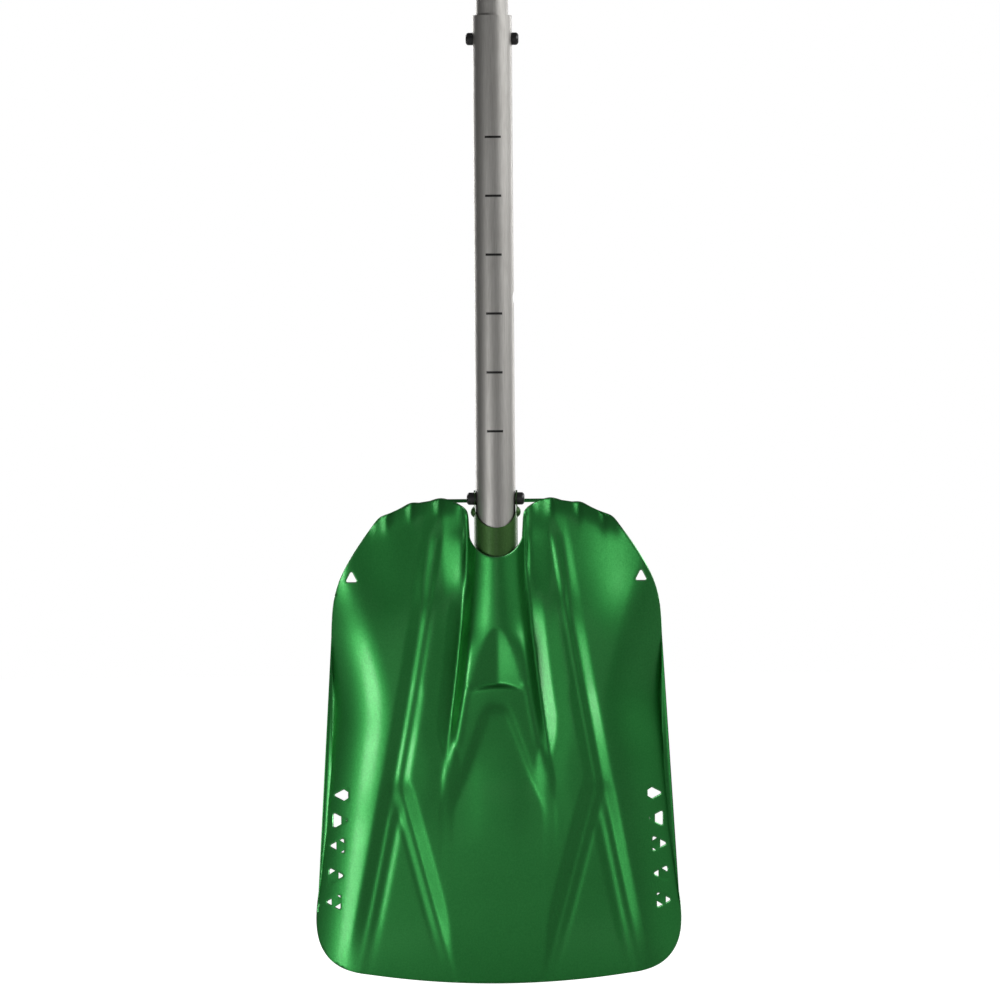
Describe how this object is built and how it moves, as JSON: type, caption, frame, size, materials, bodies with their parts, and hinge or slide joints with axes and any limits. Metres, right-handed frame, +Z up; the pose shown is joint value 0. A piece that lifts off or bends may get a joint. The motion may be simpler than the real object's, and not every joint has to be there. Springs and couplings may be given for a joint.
{
  "type": "avalanche shovel",
  "caption": "Compact snow shovel with a stamped green metal blade, a two-stage telescoping tube shaft held by snap buttons, and a T-grip.",
  "frame": {"origin": "level with the blade's cutting edge, under the middle of the shovel's width and depth", "axes": "+Z up along the shaft towards the grip, +X to the right as seen with the blade's convex back in front, -Y the way that back faces, +Y the way the scoop faces"},
  "size_m": [0.2488, 0.0413, 0.892],
  "materials": {
    "blade_green": "satin bead-blasted, green anodised",
    "sleeve_olive": "satin, dark olive-green anodised",
    "saddle_green": "satin, green anodised",
    "shaft_grey": "satin drawn tube, grey anodised",
    "button_black": "black oxide, semi-gloss",
    "spring_steel": "rolled strip",
    "black_plastic": "moulded",
    "grip_plastic": "moulded, fine texture",
    "grip_rubber": "matt, ribbed",
    "pin_steel": "turned"
  },
  "bodies": {
    "blade": {"blade": "blade_green", "socket_sleeve": "sleeve_olive", "socket_saddle": "saddle_green"},
    "lower_shaft": {"lower_shaft": "shaft_grey", "lower_shaft_plug": "black_plastic", "lower_spring_clip": "spring_steel", "shaft_bushing": "black_plastic"},
    "lower_button_left": {"lower_button_left": "button_black"},
    "lower_button_right": {"lower_button_right": "button_black"},
    "upper_shaft": {"upper_shaft": "shaft_grey", "upper_shaft_guide": "black_plastic", "upper_spring_clip": "spring_steel", "grip_body": "grip_plastic", "grip_pad_left": "grip_rubber", "grip_pad_right": "grip_rubber", "grip_cap_left": "grip_plastic", "grip_cap_right": "grip_plastic", "grip_pin": "pin_steel"},
    "upper_button_left": {"upper_button_left": "button_black"},
    "upper_button_right": {"upper_button_right": "button_black"}
  },
  "joints": [
    {"name": "blade_release", "type": "slide", "parent": "blade", "child": "lower_shaft", "axis": [0, 0, 1], "range_m": [0, 0.088], "deforming": ["lower_button_left", "lower_button_right", "lower_spring_clip"]},
    {"name": "telescope", "type": "slide", "parent": "lower_shaft", "child": "upper_shaft", "axis": [0, 0, -1], "range_m": [0, 0.176], "deforming": ["upper_button_left", "upper_button_right", "upper_spring_clip"]},
    {"name": "lower_button_left_press", "type": "slide", "parent": "lower_shaft", "child": "lower_button_left", "axis": [1, 0, 0], "range_m": [0, 0.0063], "stiffness_N_per_m": 900, "springref_m": -0.004, "deforming": ["lower_spring_clip"]},
    {"name": "lower_button_right_press", "type": "slide", "parent": "lower_shaft", "child": "lower_button_right", "axis": [-1, 0, 0], "range_m": [0, 0.0063], "stiffness_N_per_m": 900, "springref_m": -0.004, "deforming": ["lower_spring_clip"]},
    {"name": "upper_button_left_press", "type": "slide", "parent": "upper_shaft", "child": "upper_button_left", "axis": [1, 0, 0], "range_m": [0, 0.006], "stiffness_N_per_m": 900, "springref_m": -0.004, "deforming": ["upper_spring_clip"]},
    {"name": "upper_button_right_press", "type": "slide", "parent": "upper_shaft", "child": "upper_button_right", "axis": [-1, 0, 0], "range_m": [0, 0.006], "stiffness_N_per_m": 900, "springref_m": -0.004, "deforming": ["upper_spring_clip"]}
  ]
}
